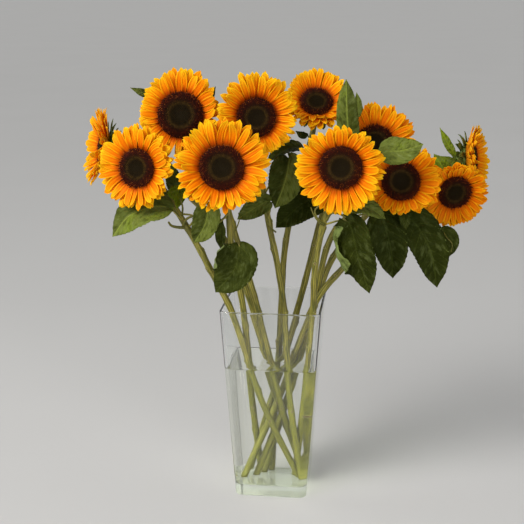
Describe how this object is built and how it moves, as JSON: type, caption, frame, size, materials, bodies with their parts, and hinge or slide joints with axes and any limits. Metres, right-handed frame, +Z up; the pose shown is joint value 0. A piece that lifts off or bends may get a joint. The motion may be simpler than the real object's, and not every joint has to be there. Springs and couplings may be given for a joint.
{
  "type": "sunflowers in a vase",
  "caption": "Cut sunflowers with leafy stems crossing in a clear square tapered glass vase of water, heads spread wide and facing the front.",
  "frame": {"origin": "middle of the underside of the vase", "axes": "+Z up along the vase, +X to the right seen from the front, -Y out of the vase's front face, the side that most of the heads look towards"},
  "size_m": [0.6145, 0.2894, 0.6476],
  "materials": {
    "glass": "clear thin-walled pressed glass, polished, with a thick floor and rounded upright corners",
    "water": "still clear water with a faint green tint",
    "leaf": "dark green leaves with a soft grey sheen and paler undersides, and olive green hairy stems",
    "petal": "matt golden orange ray petals, deeper orange at the base, with fine lengthwise grooves",
    "seed": "dark maroon-brown florets round an olive-black middle, matt and finely bumpy"
  },
  "bodies": {
    "root": {"vase": "glass", "water": "water", "leafy_stem_a": "leaf", "ray_petals_a": "petal", "seed_disc_a": "seed", "leafy_stem_b": "leaf", "ray_petals_b": "petal", "seed_disc_b": "seed", "leafy_stem_c": "leaf", "ray_petals_c": "petal", "seed_disc_c": "seed", "leafy_stem_d": "leaf", "ray_petals_d": "petal", "seed_disc_d": "seed", "leafy_stem_e": "leaf", "ray_petals_e": "petal", "seed_disc_e": "seed", "leafy_stem_f": "leaf", "ray_petals_f": "petal", "seed_disc_f": "seed", "leafy_stem_g": "leaf", "ray_petals_g": "petal", "seed_disc_g": "seed", "leafy_stem_h": "leaf", "ray_petals_h": "petal", "seed_disc_h": "seed", "leafy_stem_i": "leaf", "ray_petals_i": "petal", "seed_disc_i": "seed", "leafy_stem_j": "leaf", "ray_petals_j": "petal", "seed_disc_j": "seed", "leafy_stem_k": "leaf", "ray_petals_k": "petal", "seed_disc_k": "seed"}
  },
  "joints": []
}
